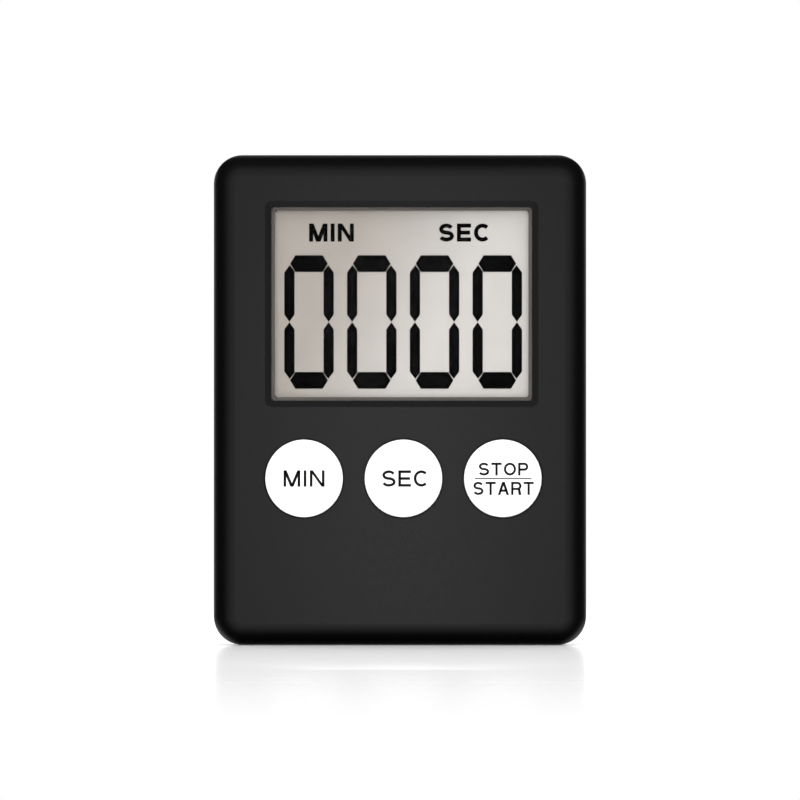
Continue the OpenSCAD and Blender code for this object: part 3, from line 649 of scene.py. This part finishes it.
def white_floor():
    """Round floor with a soft gloss, which fades out into the white room."""
    mesh = bpy.data.meshes.new("floor")
    build = bmesh.new()
    bmesh.ops.create_circle(build, cap_ends=True, segments=64, radius=FLOOR_RADIUS)
    bmesh.ops.translate(build, verts=build.verts, vec=(0, 0, CAD_LOW.z))
    build.to_mesh(mesh)
    build.free()
    floor = bpy.data.objects.new("floor", mesh)
    bpy.context.scene.collection.objects.link(floor)
    floor.visible_glossy = False
    material, tree, shader = new_material("floor_white")
    tone = noise(tree, coordinates(tree), 0.3)
    tree.links.new(two_tone(tree, tone, (0.88, 0.88, 0.88), (0.9, 0.9, 0.9)),
                   shader.inputs["Base Color"])
    shader.inputs["Roughness"].default_value = FLOOR_ROUGH
    away = tree.nodes.new("ShaderNodeVectorMath")
    away.operation = "LENGTH"
    tree.links.new(coordinates(tree), away.inputs[0])
    tree.links.new(span(tree, away.outputs["Value"], 1, 0, FLOOR_FADE, FLOOR_RADIUS),
                   shader.inputs["Alpha"])
    mesh.materials.append(material)


def soft_light(name, place, size, power, target=(0, 0, 0.04), glossy=False):
    data = bpy.data.lights.new(name, "AREA")
    data.shape = "RECTANGLE"
    data.size, data.size_y = size
    data.energy = power
    lamp = bpy.data.objects.new(name, data)
    bpy.context.scene.collection.objects.link(lamp)
    lamp.location = place
    lamp.rotation_euler = (Vector(target) - Vector(place)).to_track_quat("-Z", "Y").to_euler()
    lamp.visible_glossy = glossy
    lamp.visible_camera = False


def lobe(tree, direction, toward, width, strength):
    """Soft patch of light seen in one direction."""
    dot = tree.nodes.new("ShaderNodeVectorMath")
    dot.operation = "DOT_PRODUCT"
    dot.inputs[1].default_value = Vector(toward).normalized()
    tree.links.new(direction, dot.inputs[0])
    fade = tree.nodes.new("ShaderNodeMapRange")
    fade.interpolation_type = "SMOOTHSTEP"
    fade.inputs["From Min"].default_value = math.cos(math.radians(width))
    fade.inputs["From Max"].default_value = 1
    fade.inputs["To Max"].default_value = strength
    tree.links.new(dot.outputs["Value"], fade.inputs["Value"])
    return fade.outputs["Result"]


def background(tree, strength):
    """White light of an even strength, or of a strength that follows a socket."""
    node = tree.nodes.new("ShaderNodeBackground")
    node.inputs["Color"].default_value = (1, 1, 1, 1)
    if isinstance(strength, (int, float)):
        node.inputs["Strength"].default_value = strength
    else:
        tree.links.new(strength, node.inputs["Strength"])
    return node.outputs[0]


def pick(tree, choice, first, second):
    """The second shader where choice is 1, and the first elsewhere."""
    node = tree.nodes.new("ShaderNodeMixShader")
    tree.links.new(choice, node.inputs["Fac"])
    tree.links.new(first, node.inputs[1])
    tree.links.new(second, node.inputs[2])
    return node.outputs[0]


def studio():
    """White room with even light; what gloss sees in it is a few soft panels."""
    world = bpy.data.worlds.new("studio")
    bpy.context.scene.world = world
    world.use_nodes = True
    tree = world.node_tree
    tree.nodes.clear()
    direction = tree.nodes.new("ShaderNodeTexCoord").outputs["Generated"]
    panels = lobe(tree, direction, *GLOSS_PANELS[0])
    for panel in GLOSS_PANELS[1:]:
        panels = add(tree, panels, lobe(tree, direction, *panel))
    path = tree.nodes.new("ShaderNodeLightPath")
    seen = pick(tree, path.outputs["Is Glossy Ray"], background(tree, ROOM_LIGHT),
                background(tree, panels))
    seen = pick(tree, path.outputs["Is Camera Ray"], seen, background(tree, 1.0))
    out = tree.nodes.new("ShaderNodeOutputWorld")
    tree.links.new(seen, out.inputs["Surface"])


def lights():
    """Two large panels, and a faint low strip that shows in the gloss of the front."""
    soft_light("top_panel", place=(0, -0.15, 0.9), size=(1.2, 1.2), power=11)
    soft_light("front_panel", place=(0, -1.3, 0.25), size=(1.2, 0.8), power=6)
    soft_light("strip_panel", place=(0, -0.12, 0.035), size=(0.03, 0.1), power=0.011,
               target=(0, 0, 0.035), glossy=True)


def camera():
    """Straight on to the front, at the middle of the case."""
    data = bpy.data.cameras.new("camera")
    item = bpy.data.objects.new("camera", data)
    bpy.context.scene.collection.objects.link(item)
    bpy.context.scene.camera = item
    low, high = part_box("front_case")
    item.location = ((low.x + high.x) / 2, -CAMERA_AWAY, (low.z + high.z) / 2)
    item.rotation_euler = (math.radians(90), 0, 0)
    data.lens = data.sensor_width * CAMERA_AWAY / VIEW_WIDTH
    data.clip_start, data.clip_end = CAMERA_CLIP


# ---------------------------------------------------------------- build

camera()
materials = make_materials()
dress_nodes(materials)
ink = surface("display_ink", (0.0005, 0.0005, 0.0006), 0.6, grain=0.1 * MM, specular=0.02)
print_black = surface("print_black", (0.003, 0.003, 0.0035), 0.6, grain=0.1 * MM, specular=0.2)
print_grey = surface("print_grey", (0.12, 0.12, 0.12), 0.5, grain=0.1 * MM)
display_marks(ink)
button_marks(print_black, print_grey)
# The door marks are moulded in the door's black plastic; their paler colour is a painted highlight,
# and their gloss is higher too
door_marks(surface("door_mark", (0.012, 0.012, 0.012), 0.3, grain=0.1 * MM, specular=0.9))
white_floor()
studio()
lights()
bpy.context.scene.view_settings.view_transform = "Standard"
